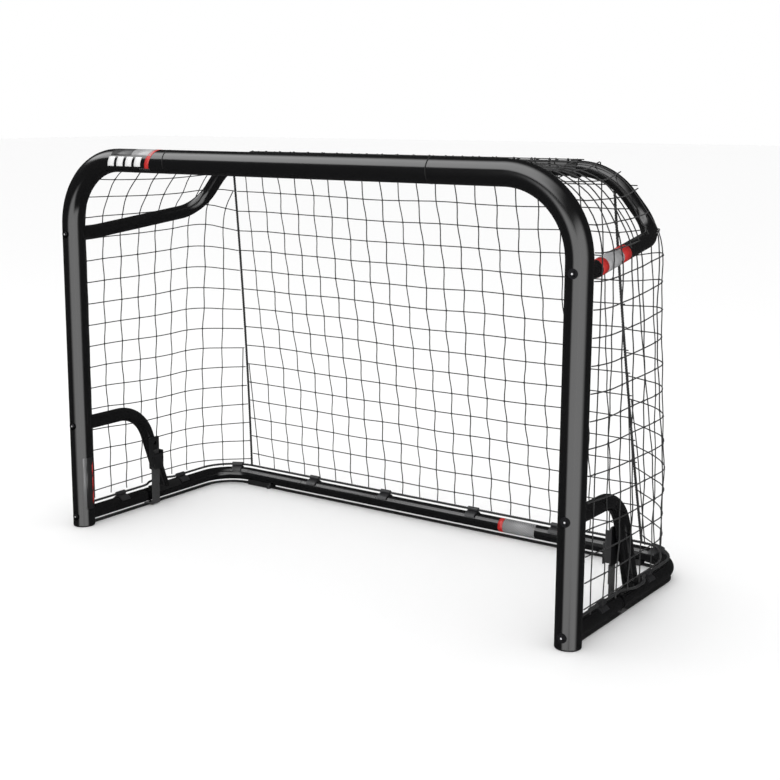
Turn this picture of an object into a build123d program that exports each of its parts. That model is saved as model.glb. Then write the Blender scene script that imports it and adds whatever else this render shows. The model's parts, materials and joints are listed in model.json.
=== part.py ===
from build123d import *
import os
from math import atan2, cos, degrees, radians, sin, sqrt, tan

# A small free-standing street hockey goal of plugged and bolted steel tube with a knotted net.
# Millimetres. +Z is up, -Y is the open front, +X is to the right when seen from the front.
# The origin is on the floor, under the middle of the goal.

os.makedirs("parts", exist_ok=True)

# --- overall sizes -----------------------------------------------------------------------
width = 1200.0  # outside of one post to outside of the other
height = 800.0  # floor to the top of the crossbar
depth = 500.0  # front of the posts to the back of the ground tube

# --- tube stock --------------------------------------------------------------------------
post_d = 46.0
post_wall = 1.8
rail_d = 29.0
rail_wall = 1.5
plug_gap = 0.1  # sleeve, insert or plug to the bore that it sits in
skin_gap = 0.1  # shells and washers to the tube that they sit on
seam_gap = 1.2  # open line where two tube ends meet over a sleeve
through = 10.0  # how far a cutting body runs past what it cuts

post_r = post_d / 2
rail_r = rail_d / 2
post_bore_r = post_r - post_wall
rail_bore_r = rail_r - rail_wall
post_x = width / 2 - post_r
post_y = -depth / 2 + post_r
post_back = post_y + post_r
bar_z = height - post_r
ground_y = depth / 2 - rail_r

# --- front frame -------------------------------------------------------------------------
frame_corner_r = 137.0  # on the tube's centre line, starting above the upper arms
crossbar_length = 600.0  # the straight middle section
crossbar_sleeve = 100.0
foot_cap_t = 3.0
foot_cap_plug = 12.0
foot_cap_edge = 1.8

# --- bolts through the posts -------------------------------------------------------------
arm_z = 624.5
hoop_z = 220.5
ground_z = 22.5
bolt_d = 8.0
bolt_gap = 0.25  # radial, in the holes through the posts
bolt_reach = 16.0  # how far the shank goes into the insert
washer_r = 8.5
washer_t = 0.8
head_r = 5.5
head_t = 2.2
head_taper = 25.0  # degrees
socket_af = 4.0
socket_depth = 1.4
insert_length = 20.0

# --- upper rear frame --------------------------------------------------------------------
upper_bar_back = 109.5  # centre of the rear top bar, in front of the ground tube's
upper_drop = 7.0  # and below the crossbar's
arm_run = 34.0  # straight part of each arm behind its post
arm_lift = 33.0  # rise of each arm from there to its bend
arm_toe_in = 27.0  # and how far it comes in
arm_ease_r = 150.0
arm_bend_r = 65.0
upper_lean = 94.5  # how far the bent part leans in before it turns level
upper_corner_r = 130.0
upper_bar_length = 600.0
rail_sleeve = 70.0

upper_y = ground_y - upper_bar_back
upper_z = bar_z - upper_drop
bend_x = post_x - arm_toe_in
bend_z = arm_z + arm_lift
lean_angle = degrees(atan2(upper_lean, upper_z - bend_z))
turn_x = bend_x - upper_lean - upper_corner_r * tan(radians(90 - lean_angle) / 2)

# --- side hoops --------------------------------------------------------------------------
hoop_run = 151.0  # post back to the corner where run and leg lines meet
hoop_tilt = 20.0  # degrees off the vertical
hoop_bend_r = 90.0
saddle_t = 2.5
saddle_length = 83.0
saddle_front = 36.0  # the part of the saddle in front of the leg's middle
saddle_inner_angle = 75.0
saddle_outer_angle = 30.0

hoop_corner_y = post_back + hoop_run
saddle_r = rail_r + skin_gap + saddle_t

# --- ground frame ------------------------------------------------------------------------
ground_corner_r = 80.0
ground_bar_length = 680.0
stub_length = 158.0  # post back to the end of the front stub
stub_gap = 8.0  # sleeve left bare between stub and side tube
pad_length = 70.0
pad_width = 24.0
pad_corner_r = 4.8
pad_wrap = 45.0  # degrees off straight down, up to where the pad holds the tube
pad_inset = 5.0  # ground corner's tangent point to the near end of the pad
pad_boss_d = 9.0
strip_w = 14.0
strip_t = 1.5

stub_end = post_back + stub_length
side_start = stub_end + stub_gap
corner_x = post_x - ground_corner_r
corner_y = ground_y - ground_corner_r
pad_x = corner_x + pad_inset - pad_length / 2

# --- strap and buckle --------------------------------------------------------------------
strap_w = 25.0
strap_t = 1.5
strap_y = 2.0  # strap's middle, in front of the leg at the screw
bracket_t = 3.0
bracket_w = 30.0
bracket_length = 72.0
bracket_top = 156.0
flange_depth = 12.0
flange_short = 6.0  # how much shorter the front flange is than the face
screw_drop = 14.0  # bracket's top edge to the screw
screw_d = 4.0
screw_head_r = 4.2
screw_head_t = 1.6
screw_taper = 20.0  # degrees
cheek_t = 2.0
cheek_reach = 13.0
cheek_height = 28.0
cheek_drop = 30.0  # bracket's top edge to the top of the cheeks
pin_d = 3.0
pin_reach = 8.5  # bracket's face to the pin's axis
pin_gap = 0.05
cam_gap = 0.4  # the lever's cam to the strap
lever_gap = 0.5  # the lever to each cheek
lever_length = 26.0
lever_t = 3.0
tail_length = 36.0
strap_floor_gap = 0.3  # strap to the strip that it passes over
strap_corner_r = 2.5
strap_under = 8.0  # how far the strap goes beyond the tube's middle
rivet_d = 4.0
rivet_head_d = 7.0
rivet_head_t = 1.0

# --- net and its fixings -----------------------------------------------------------------
cord_d = 5.0
cord_lift = 0.9  # border cord's underside above the saddles
cord_out = 4.0  # its centre line outside the ground tube's
cord_clear = 2.0  # cord to the hoop's leg where it goes round
swerve_flat = 20.0  # leg's middle to the end of the cord's stretch beside it
swerve_reach = 44.0  # leg's middle to where the cord is back over the tube
swerve_r = 36.0
clip_t = 3.0
clip_length = 24.0
clip_boss_d = 10.0
clip_wrap = 60.0  # degrees each way round the tube
clip_before = 90.8  # middle of the clip in front of each saddle, from the saddle
clip_after = 18.2  # and of the clip behind it
rear_clip_x = (-311.0, -113.0, 113.0, 311.0)
corner_clip_angle = 62.0
hook_d = 6.0
hook_reach = 4.0
post_hook_z = (120.0, 295.0, 470.0)
bar_hook_x = (-240.0, -120.0, 0.0, 120.0, 240.0)
panel_t = 1.5
panel_gap = 0.5  # net panels to the tubes behind them
panel_low = 49.0  # bottom edge of the net panels
back_inset = 1.5  # rear panel's top edge, in front of the back of the rear top bar
back_drop = 2.0  # and below the top panel
rope_low_x = 497.0
rope_high_x = 455.0
rope_d = 5.0
rope_clear = 3.0  # rope's centre line to the edge of the corner panel
rope_drop = 58.0  # top panel to the top of each corner rope


def side_tube_end(side, z):
    """Point on a post's centre line, where a tube that butts on its back is aimed."""
    return (side * post_x, post_y, z)


def leg_y(z):
    """Centre line of a hoop's leg at height z."""
    return hoop_corner_y + (hoop_z - z) * tan(radians(hoop_tilt))


saddle_start = leg_y(ground_z + saddle_r) - saddle_front


sides = (("left", -1), ("right", 1))

# --- posts with their corners ------------------------------------------------------------
for name, side in sides:
    with BuildPart() as post:
        with BuildLine() as route:
            FilletPolyline(
                (side * post_x, post_y, foot_cap_t),
                (side * post_x, post_y, bar_z),
                (side * (crossbar_length + seam_gap) / 2, post_y, bar_z),
                radius=frame_corner_r,
            )
        with BuildSketch(Plane(origin=route.line @ 0, z_dir=route.line % 0)):
            Circle(post_r)
            Circle(post_bore_r, mode=Mode.SUBTRACT)
        sweep(path=route.line)
        for z in (arm_z, hoop_z, ground_z):
            with Locations(Location((side * post_x, post_y, z), (90, 0, 0))):
                Cylinder(bolt_d / 2 + bolt_gap, post_d + through, mode=Mode.SUBTRACT)
    post.part.label = f"post_{name}"
    export_step(post.part, f"parts/post_{name}.step")

    # Moulded foot: a rounded disc with a plug that stops below the lowest bolt.
    with BuildPart() as foot:
        with BuildSketch(Plane.XY):
            with Locations((side * post_x, post_y)):
                Circle(post_r)
        extrude(amount=foot_cap_t)
        fillet(foot.edges().group_by(Axis.Z)[0], foot_cap_edge)
        with BuildSketch(Plane.XY.offset(foot_cap_t)):
            with Locations((side * post_x, post_y)):
                Circle(post_bore_r - plug_gap)
        extrude(amount=foot_cap_plug)
    foot.part.label = f"foot_cap_{name}"
    export_step(foot.part, f"parts/foot_cap_{name}.step")

    with BuildPart() as sleeve:
        with BuildSketch(Plane.YZ.offset(side * crossbar_length / 2 - crossbar_sleeve / 2)):
            with Locations((post_y, bar_z)):
                Circle(post_bore_r - plug_gap)
                Circle(post_bore_r - plug_gap - post_wall, mode=Mode.SUBTRACT)
        extrude(amount=crossbar_sleeve)
    sleeve.part.label = f"crossbar_sleeve_{name}"
    export_step(sleeve.part, f"parts/crossbar_sleeve_{name}.step")

with BuildPart() as crossbar:
    with BuildSketch(Plane.YZ.offset(-(crossbar_length - seam_gap) / 2)):
        with Locations((post_y, bar_z)):
            Circle(post_r)
            Circle(post_bore_r, mode=Mode.SUBTRACT)
    extrude(amount=crossbar_length - seam_gap)
crossbar.part.label = "crossbar_middle"
export_step(crossbar.part, "parts/crossbar_middle.step")

# --- bolts, washers and the threaded inserts that they pull on ---------------------------
for name, side in sides:
    with BuildPart() as washers:
        for z in (arm_z, hoop_z, ground_z):
            with BuildSketch(Plane.XZ.offset(depth / 2 + washer_t)):
                with Locations((side * post_x, z)):
                    Circle(washer_r)
                    Circle(bolt_d / 2 + bolt_gap, mode=Mode.SUBTRACT)
            extrude(amount=-post_r / 2)
        with Locations((side * post_x, post_y, height / 2)):
            Cylinder(post_r, height + through, mode=Mode.SUBTRACT)
    washers.part.label = f"frame_washers_{name}"
    export_step(washers.part, f"parts/frame_washers_{name}.step")

    with BuildPart() as bolts:
        for z in (arm_z, hoop_z, ground_z):
            with BuildSketch(Plane.XZ.offset(depth / 2 + washer_t)):
                with Locations((side * post_x, z)):
                    Circle(head_r)
            extrude(amount=head_t, taper=head_taper)
            with BuildSketch(Plane.XZ.offset(depth / 2 + washer_t)):
                with Locations((side * post_x, z)):
                    Circle(bolt_d / 2)
            extrude(amount=-(post_d + washer_t + bolt_reach))
            with BuildSketch(Plane.XZ.offset(depth / 2 + washer_t + head_t)):
                with Locations((side * post_x, z)):
                    RegularPolygon(socket_af / 2, 6, major_radius=False)
            extrude(amount=-socket_depth, mode=Mode.SUBTRACT)
    bolts.part.label = f"frame_bolts_{name}"
    export_step(bolts.part, f"parts/frame_bolts_{name}.step")

    with BuildPart() as inserts:
        for z in (arm_z, hoop_z, ground_z):
            with BuildSketch(Plane.XZ.offset(-post_back - plug_gap)):
                with Locations((side * post_x, z)):
                    Circle(rail_bore_r - plug_gap)
                    Circle(bolt_d / 2, mode=Mode.SUBTRACT)
            extrude(amount=-insert_length)
    inserts.part.label = f"tube_inserts_{name}"
    export_step(inserts.part, f"parts/tube_inserts_{name}.step")

# --- upper rear frame: two arms with their corners, and the bar between ------------------
for name, side in sides:
    with BuildPart() as arm:
        with BuildLine() as route:
            FilletPolyline(
                side_tube_end(side, arm_z),
                (side * post_x, post_back + arm_run, arm_z),
                (side * bend_x, upper_y, bend_z),
                (side * (bend_x - upper_lean), upper_y, upper_z),
                (side * (upper_bar_length + seam_gap) / 2, upper_y, upper_z),
                radius=[arm_ease_r, arm_bend_r, upper_corner_r],
            )
        with BuildSketch(Plane(origin=route.line @ 0, z_dir=route.line % 0)):
            Circle(rail_r)
            Circle(rail_bore_r, mode=Mode.SUBTRACT)
        sweep(path=route.line)
        with Locations((side * post_x, post_y, arm_z)):
            Cylinder(post_r, rail_d + 2 * through, mode=Mode.SUBTRACT)
    arm.part.label = f"upper_arm_{name}"
    export_step(arm.part, f"parts/upper_arm_{name}.step")

    with BuildPart() as sleeve:
        with BuildSketch(Plane.YZ.offset(side * upper_bar_length / 2 - rail_sleeve / 2)):
            with Locations((upper_y, upper_z)):
                Circle(rail_bore_r - plug_gap)
                Circle(rail_bore_r - plug_gap - rail_wall, mode=Mode.SUBTRACT)
        extrude(amount=rail_sleeve)
    sleeve.part.label = f"upper_sleeve_{name}"
    export_step(sleeve.part, f"parts/upper_sleeve_{name}.step")

with BuildPart() as upper_bar:
    with BuildSketch(Plane.YZ.offset(-(upper_bar_length - seam_gap) / 2)):
        with Locations((upper_y, upper_z)):
            Circle(rail_r)
            Circle(rail_bore_r, mode=Mode.SUBTRACT)
    extrude(amount=upper_bar_length - seam_gap)
upper_bar.part.label = "upper_rear_bar"
export_step(upper_bar.part, "parts/upper_rear_bar.step")

# --- side hoops and their saddles --------------------------------------------------------
for name, side in sides:
    with BuildPart() as hoop:
        with BuildLine() as route:
            FilletPolyline(
                side_tube_end(side, hoop_z),
                (side * post_x, hoop_corner_y, hoop_z),
                (side * post_x, leg_y(ground_z), ground_z),
                radius=hoop_bend_r,
            )
        with BuildSketch(Plane(origin=route.line @ 0, z_dir=route.line % 0)):
            Circle(rail_r)
            Circle(rail_bore_r, mode=Mode.SUBTRACT)
        sweep(path=route.line)
        with Locations((side * post_x, post_y, hoop_z)):
            Cylinder(post_r, rail_d + 2 * through, mode=Mode.SUBTRACT)
        with Locations(Location((side * post_x, leg_y(ground_z), ground_z), (90, 0, 0))):
            Cylinder(saddle_r, saddle_length, mode=Mode.SUBTRACT)
    hoop.part.label = f"hoop_{name}"
    export_step(hoop.part, f"parts/hoop_{name}.step")

    # Part of a shell over the ground tube, further round on the inside than on the outside.
    toward = saddle_outer_angle if side > 0 else saddle_inner_angle
    away = saddle_inner_angle if side > 0 else saddle_outer_angle
    with BuildPart() as saddle:
        with BuildSketch(Plane.XZ.offset(-saddle_start)):
            with BuildLine():
                inner = CenterArc((side * post_x, ground_z), rail_r + skin_gap, 90 - toward, toward + away)
                outer = CenterArc((side * post_x, ground_z), saddle_r, 90 - toward, toward + away)
                Line(inner @ 0, outer @ 0)
                Line(inner @ 1, outer @ 1)
            make_face()
        extrude(amount=-saddle_length)
    saddle.part.label = f"saddle_{name}"
    export_step(saddle.part, f"parts/saddle_{name}.step")

# --- ground frame ------------------------------------------------------------------------
for name, side in sides:
    with BuildPart() as stub:
        with BuildSketch(Plane.XZ.offset(-post_y)):
            with Locations((side * post_x, ground_z)):
                Circle(rail_r)
                Circle(rail_bore_r, mode=Mode.SUBTRACT)
        extrude(amount=-(stub_end - post_y))
        with Locations((side * post_x, post_y, ground_z)):
            Cylinder(post_r, rail_d + 2 * through, mode=Mode.SUBTRACT)
    stub.part.label = f"ground_stub_{name}"
    export_step(stub.part, f"parts/ground_stub_{name}.step")

    with BuildPart() as corner:
        with BuildLine() as route:
            FilletPolyline(
                (side * post_x, side_start, ground_z),
                (side * post_x, ground_y, ground_z),
                (side * (ground_bar_length + seam_gap) / 2, ground_y, ground_z),
                radius=ground_corner_r,
            )
        with BuildSketch(Plane(origin=route.line @ 0, z_dir=route.line % 0)):
            Circle(rail_r)
            Circle(rail_bore_r, mode=Mode.SUBTRACT)
        sweep(path=route.line)
    corner.part.label = f"ground_corner_{name}"
    export_step(corner.part, f"parts/ground_corner_{name}.step")

    # Sleeves inside the two joints of this side: behind the stub, and at the rear tube.
    with BuildPart() as sleeves:
        with BuildSketch(Plane.XZ.offset(-(stub_end + stub_gap / 2 - rail_sleeve / 2))):
            with Locations((side * post_x, ground_z)):
                Circle(rail_bore_r - plug_gap)
                Circle(rail_bore_r - plug_gap - rail_wall, mode=Mode.SUBTRACT)
        extrude(amount=-rail_sleeve)
        with BuildSketch(Plane.YZ.offset(side * ground_bar_length / 2 - rail_sleeve / 2)):
            with Locations((ground_y, ground_z)):
                Circle(rail_bore_r - plug_gap)
                Circle(rail_bore_r - plug_gap - rail_wall, mode=Mode.SUBTRACT)
        extrude(amount=rail_sleeve)
    sleeves.part.label = f"ground_sleeves_{name}"
    export_step(sleeves.part, f"parts/ground_sleeves_{name}.step")

    # Foot pad: a block on the floor, hollowed to the tube, with a boss at its inner end.
    with BuildPart() as pad:
        with BuildSketch(Plane.XY):
            with Locations((side * pad_x, ground_y)):
                RectangleRounded(pad_length, pad_width, pad_corner_r)
        extrude(amount=ground_z - rail_r * cos(radians(pad_wrap)))
        with BuildSketch(Plane.XY):
            with Locations((side * (pad_x - pad_length / 2 + pad_boss_d / 2), ground_y - pad_width / 2)):
                Circle(pad_boss_d / 2)
        extrude(amount=ground_z - rail_r)
        with Locations(Location((side * pad_x, ground_y, ground_z), (0, 90, 0))):
            Cylinder(rail_r + skin_gap, pad_length + through, mode=Mode.SUBTRACT)
    pad.part.label = f"foot_pad_{name}"
    export_step(pad.part, f"parts/foot_pad_{name}.step")

    # Flat strip on the floor, from the post's back round the corner to the pad.
    with BuildPart() as strip:
        with BuildLine() as route:
            FilletPolyline(
                (side * post_x, post_back + seam_gap, strip_t / 2),
                (side * post_x, ground_y, strip_t / 2),
                (side * (pad_x + pad_length / 2), ground_y, strip_t / 2),
                radius=ground_corner_r - 2 * pad_inset,
            )
        with BuildSketch(Plane(origin=route.line @ 0, x_dir=(1, 0, 0), z_dir=route.line % 0)):
            Rectangle(strip_w, strip_t)
        sweep(path=route.line)
    strip.part.label = f"floor_strip_{name}"
    export_step(strip.part, f"parts/floor_strip_{name}.step")

with BuildPart() as ground_bar:
    with BuildSketch(Plane.YZ.offset(-(ground_bar_length - seam_gap) / 2)):
        with Locations((ground_y, ground_z)):
            Circle(rail_r)
            Circle(rail_bore_r, mode=Mode.SUBTRACT)
    extrude(amount=ground_bar_length - seam_gap)
ground_bar.part.label = "ground_rear_tube"
export_step(ground_bar.part, "parts/ground_rear_tube.step")

with BuildPart() as rear_strip:
    with BuildSketch(Plane.XY):
        with Locations((0, ground_y)):
            Rectangle(2 * (pad_x - pad_length / 2), strip_w)
    extrude(amount=strip_t)
rear_strip.part.label = "floor_strip_rear"
export_step(rear_strip.part, "parts/floor_strip_rear.step")

# --- strap, bracket and cam buckle on each hoop's leg ------------------------------------
screw_z = bracket_top - screw_drop
bracket_y = leg_y(screw_z) - strap_y
bracket_front = bracket_y - bracket_w / 2
cheek_top = bracket_top - cheek_drop
pin_z = cheek_top - cheek_height / 2
cam_r = pin_reach - strap_t - cam_gap
lever_w = strap_w - 2 * lever_gap
webbing_w = lever_w - 2 * lever_gap

for name, side in sides:
    # Distances called "in" run from the leg's inner surface towards the goal's middle.
    leg_face = side * (post_x - rail_r - skin_gap)
    inward = -side
    face = leg_face + inward * bracket_t
    pin_at = face + inward * pin_reach

    with BuildPart() as bracket:
        with BuildSketch(Plane.YZ.offset(leg_face)):
            with Locations((bracket_y, bracket_top - bracket_length / 2)):
                RectangleRounded(bracket_w, bracket_length, bracket_t)
        extrude(amount=inward * bracket_t)
        with BuildSketch(Plane.XZ.offset(-bracket_front)):
            with Locations((leg_face + inward * (flange_depth / 2), bracket_top - bracket_length / 2)):
                Rectangle(flange_depth, bracket_length - 2 * flange_short)
        extrude(amount=-cheek_t)
        with BuildSketch(Plane.XZ.offset(-bracket_y)):
            with Locations((face + inward * (cheek_reach / 2), pin_z)):
                Rectangle(cheek_reach, cheek_height)
        extrude(amount=lever_w / 2 + lever_gap + cheek_t, both=True)
        with BuildSketch(Plane.XZ.offset(-bracket_y)):
            with Locations((face + inward * (cheek_reach / 2), pin_z)):
                Rectangle(cheek_reach, cheek_height + through)
        extrude(amount=lever_w / 2 + lever_gap, both=True, mode=Mode.SUBTRACT)
        with Locations(Location((pin_at, bracket_y, pin_z), (90, 0, 0))):
            Cylinder(pin_d / 2, bracket_w + through, mode=Mode.SUBTRACT)
        with Locations(Location((leg_face, leg_y(screw_z), screw_z), (0, 90, 0))):
            Cylinder(screw_d / 2, 2 * bracket_t + through, mode=Mode.SUBTRACT)
    bracket.part.label = f"buckle_bracket_{name}"
    export_step(bracket.part, f"parts/buckle_bracket_{name}.step")

    with BuildPart() as pin:
        with BuildSketch(Plane.XZ.offset(-bracket_y)):
            with Locations((pin_at, pin_z)):
                Circle(pin_d / 2)
        extrude(amount=lever_w / 2 + lever_gap + cheek_t, both=True)
    pin.part.label = f"buckle_pin_{name}"
    export_step(pin.part, f"parts/buckle_pin_{name}.step")

    # Cam and thumb plate, closed against the strap.
    with BuildPart() as lever:
        with BuildSketch(Plane.XZ.offset(-bracket_y)):
            with Locations((pin_at, pin_z)):
                Circle(cam_r)
            with Locations((pin_at + inward * (cam_r - lever_t / 2), pin_z - lever_length / 2)):
                Rectangle(lever_t, lever_length)
            with Locations((pin_at, pin_z)):
                Circle(pin_d / 2 + pin_gap, mode=Mode.SUBTRACT)
        extrude(amount=lever_w / 2, both=True)
    lever.part.label = f"buckle_lever_{name}"
    export_step(lever.part, f"parts/buckle_lever_{name}.step")

    with BuildPart() as screw:
        with BuildSketch(Plane.YZ.offset(face)):
            with Locations((leg_y(screw_z), screw_z)):
                Circle(screw_head_r)
        extrude(amount=inward * screw_head_t, taper=screw_taper)
        with BuildSketch(Plane.YZ.offset(face)):
            with Locations((leg_y(screw_z), screw_z)):
                Circle(screw_d / 2 - plug_gap)
        extrude(amount=-inward * (bracket_t + skin_gap))
    screw.part.label = f"bracket_screw_{name}"
    export_step(screw.part, f"parts/bracket_screw_{name}.step")

    # Webbing: down from the buckle, under the ground tube and over the floor strip, with a
    # doubled tail below the lever.
    strap_in = face + inward * (skin_gap + strap_t / 2)
    strap_low = strip_t + strap_floor_gap + strap_t / 2
    with BuildPart() as strap:
        with BuildLine() as route:
            FilletPolyline(
                (strap_in, bracket_y, cheek_top),
                (strap_in, bracket_y, strap_low),
                (side * (post_x + strap_under), bracket_y, strap_low),
                radius=strap_corner_r,
            )
        with BuildSketch(Plane(origin=route.line @ 0, x_dir=(0, 1, 0), z_dir=route.line % 0)):
            Rectangle(webbing_w, strap_t)
        sweep(path=route.line)
        with BuildSketch(Plane.YZ.offset(strap_in + inward * strap_t / 2)):
            with Locations((bracket_y, pin_z - lever_length - tail_length / 2)):
                Rectangle(webbing_w, tail_length)
        extrude(amount=inward * strap_t)
        with Locations((side * post_x, bracket_y, strap_low)):
            Cylinder(rivet_d / 2, strap_t + through, mode=Mode.SUBTRACT)
    strap.part.label = f"strap_{name}"
    export_step(strap.part, f"parts/strap_{name}.step")

    with BuildPart() as rivet:
        with BuildSketch(Plane.XY.offset(strap_low - strap_t / 2)):
            with Locations((side * post_x, bracket_y)):
                Circle(rivet_d / 2)
        extrude(amount=ground_z - rail_r - skin_gap - (strap_low - strap_t / 2))
        with BuildSketch(Plane.XY.offset(strap_low + strap_t / 2)):
            with Locations((side * post_x, bracket_y)):
                Circle(rivet_head_d / 2)
        extrude(amount=rivet_head_t)
    rivet.part.label = f"strap_rivet_{name}"
    export_step(rivet.part, f"parts/strap_rivet_{name}.step")

# --- net border cord and its clips -------------------------------------------------------
cord_rise = saddle_r + cord_d / 2 + cord_lift
cord_z = ground_z + cord_rise
cord_x = post_x + cord_out
cord_y = ground_y + cord_out
swerve_x = post_x + rail_r + cord_d / 2 + cord_clear
swerve_mid = leg_y(cord_z)

with BuildPart() as cord:
    with BuildLine() as route:
        right = [
            (cord_x, post_back + seam_gap, cord_z),
            (cord_x, swerve_mid - swerve_reach, cord_z),
            (swerve_x, swerve_mid - swerve_flat, cord_z),
            (swerve_x, swerve_mid + swerve_flat, cord_z),
            (cord_x, swerve_mid + swerve_reach, cord_z),
            (cord_x, cord_y, cord_z),
        ]
        left = [(-x, y, z) for x, y, z in reversed(right)]
        corner_r = ground_corner_r + cord_out
        FilletPolyline(*right, *left, radius=4 * [swerve_r] + [corner_r, corner_r] + 4 * [swerve_r])
    with BuildSketch(Plane(origin=route.line @ 0, z_dir=route.line % 0)):
        Circle(cord_d / 2)
    sweep(path=route.line)
cord.part.label = "border_cord"
export_step(cord.part, "parts/border_cord.step")


# A clip's section: part of a ring over the tube, with the eye for the cord above and outside it.
with BuildSketch() as clip_section:
    with BuildLine():
        inner = CenterArc((0, 0), rail_r + skin_gap, 90 - clip_wrap, 2 * clip_wrap)
        outer = CenterArc((0, 0), rail_r + clip_t, 90 - clip_wrap, 2 * clip_wrap)
        Line(inner @ 0, outer @ 0)
        Line(inner @ 1, outer @ 1)
    make_face()
    with Locations((cord_out, cord_rise)):
        Circle(clip_boss_d / 2)
    Circle(rail_r + skin_gap, mode=Mode.SUBTRACT)
    with Locations((cord_out, cord_rise)):
        Circle(cord_d / 2, mode=Mode.SUBTRACT)

clip_turn = degrees(clip_length / ground_corner_r)
side_clip_y = (saddle_start - clip_before, saddle_start + saddle_length + clip_after)
for name, side in sides:
    with BuildPart() as clips:
        for y in side_clip_y:
            with BuildSketch(Plane(origin=(side * post_x, y, ground_z), x_dir=(side, 0, 0), z_dir=(0, -side, 0))):
                add(clip_section.sketch)
            extrude(amount=clip_length / 2, both=True)
        # The clip on the ground frame's corner is bent with it.
        start = radians(corner_clip_angle - clip_turn / 2)
        spot = (
            side * (corner_x + ground_corner_r * cos(start)),
            corner_y + ground_corner_r * sin(start),
            ground_z,
        )
        with BuildSketch(
            Plane(origin=spot, x_dir=(side * cos(start), sin(start), 0), z_dir=(sin(start), -side * cos(start), 0))
        ):
            add(clip_section.sketch)
        revolve(axis=Axis((side * corner_x, corner_y, 0), (0, 0, side)), revolution_arc=clip_turn)
    clips.part.label = f"net_clips_{name}"
    export_step(clips.part, f"parts/net_clips_{name}.step")

with BuildPart() as rear_clips:
    for x in rear_clip_x:
        with BuildSketch(Plane(origin=(x, ground_y, ground_z), x_dir=(0, 1, 0), z_dir=(1, 0, 0))):
            add(clip_section.sketch)
        extrude(amount=clip_length / 2, both=True)
rear_clips.part.label = "net_clips_rear"
export_step(rear_clips.part, "parts/net_clips_rear.step")

with BuildPart() as hooks:
    for side in (-1, 1):
        for z in post_hook_z:
            with BuildSketch(Plane.XZ.offset(-post_y)):
                with Locations((side * post_x, z)):
                    Circle(hook_d / 2)
            extrude(amount=-(post_r + hook_reach))
    for x in bar_hook_x:
        with BuildSketch(Plane.XZ.offset(-post_y)):
            with Locations((x, bar_z)):
                Circle(hook_d / 2)
        extrude(amount=-(post_r + hook_reach))
    for side in (-1, 1):
        with Locations((side * post_x, post_y, height / 2)):
            Cylinder(post_r, height + through, mode=Mode.SUBTRACT)
    with Locations(Location((0, post_y, bar_z), (0, 90, 0))):
        Cylinder(post_r, width, mode=Mode.SUBTRACT)
hooks.part.label = "net_hooks"
export_step(hooks.part, "parts/net_hooks.step")

# --- net: thin panels over the frame, and the two corner ropes ---------------------------
panel_skin = rail_r + panel_gap
net_x = post_x + panel_skin
net_top = upper_z + panel_skin
side_rear = upper_y + rail_r
front_turn_z = bar_z - frame_corner_r
front_turn_r = net_top - front_turn_z
rear_turn_z = upper_z - upper_corner_r
rear_turn_r = net_top - rear_turn_z
hoop_top = hoop_z + rail_r
back_top = (side_rear - back_inset, net_top - back_drop)
back_low = (ground_y + cord_out, panel_low)
rope_top = net_top - rope_drop


def back_y(z):
    """Inner face of the sloping back of the net at height z."""
    share = (back_top[1] - z) / (back_top[1] - back_low[1])
    return back_top[0] + share * (back_low[0] - back_top[0])


def rope_x(z):
    """Where the corner rope runs at height z."""
    return rope_low_x + (rope_high_x - rope_low_x) * (z - panel_low) / (net_top - panel_low)


def bend_out(skin):
    """Corner of the net beside an arm's bend, at this distance from the tube's centre line."""
    return (bend_x + skin, bend_z + skin * tan(radians(lean_angle) / 2))


def riser_x(z):
    """Outside of the net over the leaning part of an arm, at height z."""
    corner = bend_out(panel_skin)
    return corner[0] - (z - corner[1]) * tan(radians(lean_angle))


def rear_turn(radius):
    """Where the net over the leaning part of an arm meets the net over the round corner."""
    angle = radians(lean_angle)
    return (turn_x + radius * cos(angle), rear_turn_z + radius * sin(angle))


# Sections of the right-hand side panel, at the front frame and at the rear one: beside the arm,
# over its leaning part, and over the round corner.
front_turn_x = net_x - front_turn_r
arm_start = post_back + arm_run
with BuildSketch() as front_upright:
    with BuildLine():
        Polyline(
            (net_x, hoop_top),
            (net_x + panel_t, hoop_top),
            (net_x + panel_t, front_turn_z),
            (net_x, front_turn_z),
            (net_x, hoop_top),
        )
    make_face()
with BuildSketch() as rear_upright:
    with BuildLine():
        Polyline(
            (net_x, hoop_top),
            (net_x + panel_t, hoop_top),
            bend_out(panel_skin + panel_t),
            bend_out(panel_skin),
            (net_x, hoop_top),
        )
    make_face()
with BuildSketch() as front_lean:
    with BuildLine():
        inner = CenterArc((front_turn_x, front_turn_z), front_turn_r, 0, lean_angle)
        outer = CenterArc((front_turn_x, front_turn_z), front_turn_r + panel_t, 0, lean_angle)
        Line(inner @ 0, outer @ 0)
        Line(inner @ 1, outer @ 1)
    make_face()
with BuildSketch() as rear_lean:
    with BuildLine():
        Polyline(
            bend_out(panel_skin),
            bend_out(panel_skin + panel_t),
            rear_turn(rear_turn_r + panel_t),
            rear_turn(rear_turn_r),
            bend_out(panel_skin),
        )
    make_face()
with BuildSketch() as front_round:
    with BuildLine():
        inner = CenterArc((front_turn_x, front_turn_z), front_turn_r, lean_angle, 90 - lean_angle)
        outer = CenterArc((front_turn_x, front_turn_z), front_turn_r + panel_t, lean_angle, 90 - lean_angle)
        Line(inner @ 0, outer @ 0)
        Line(inner @ 1, outer @ 1)
    make_face()
with BuildSketch() as rear_round:
    with BuildLine():
        inner = CenterArc((turn_x, rear_turn_z), rear_turn_r, lean_angle, 90 - lean_angle)
        outer = CenterArc((turn_x, rear_turn_z), rear_turn_r + panel_t, lean_angle, 90 - lean_angle)
        Line(inner @ 0, outer @ 0)
        Line(inner @ 1, outer @ 1)
    make_face()

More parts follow.
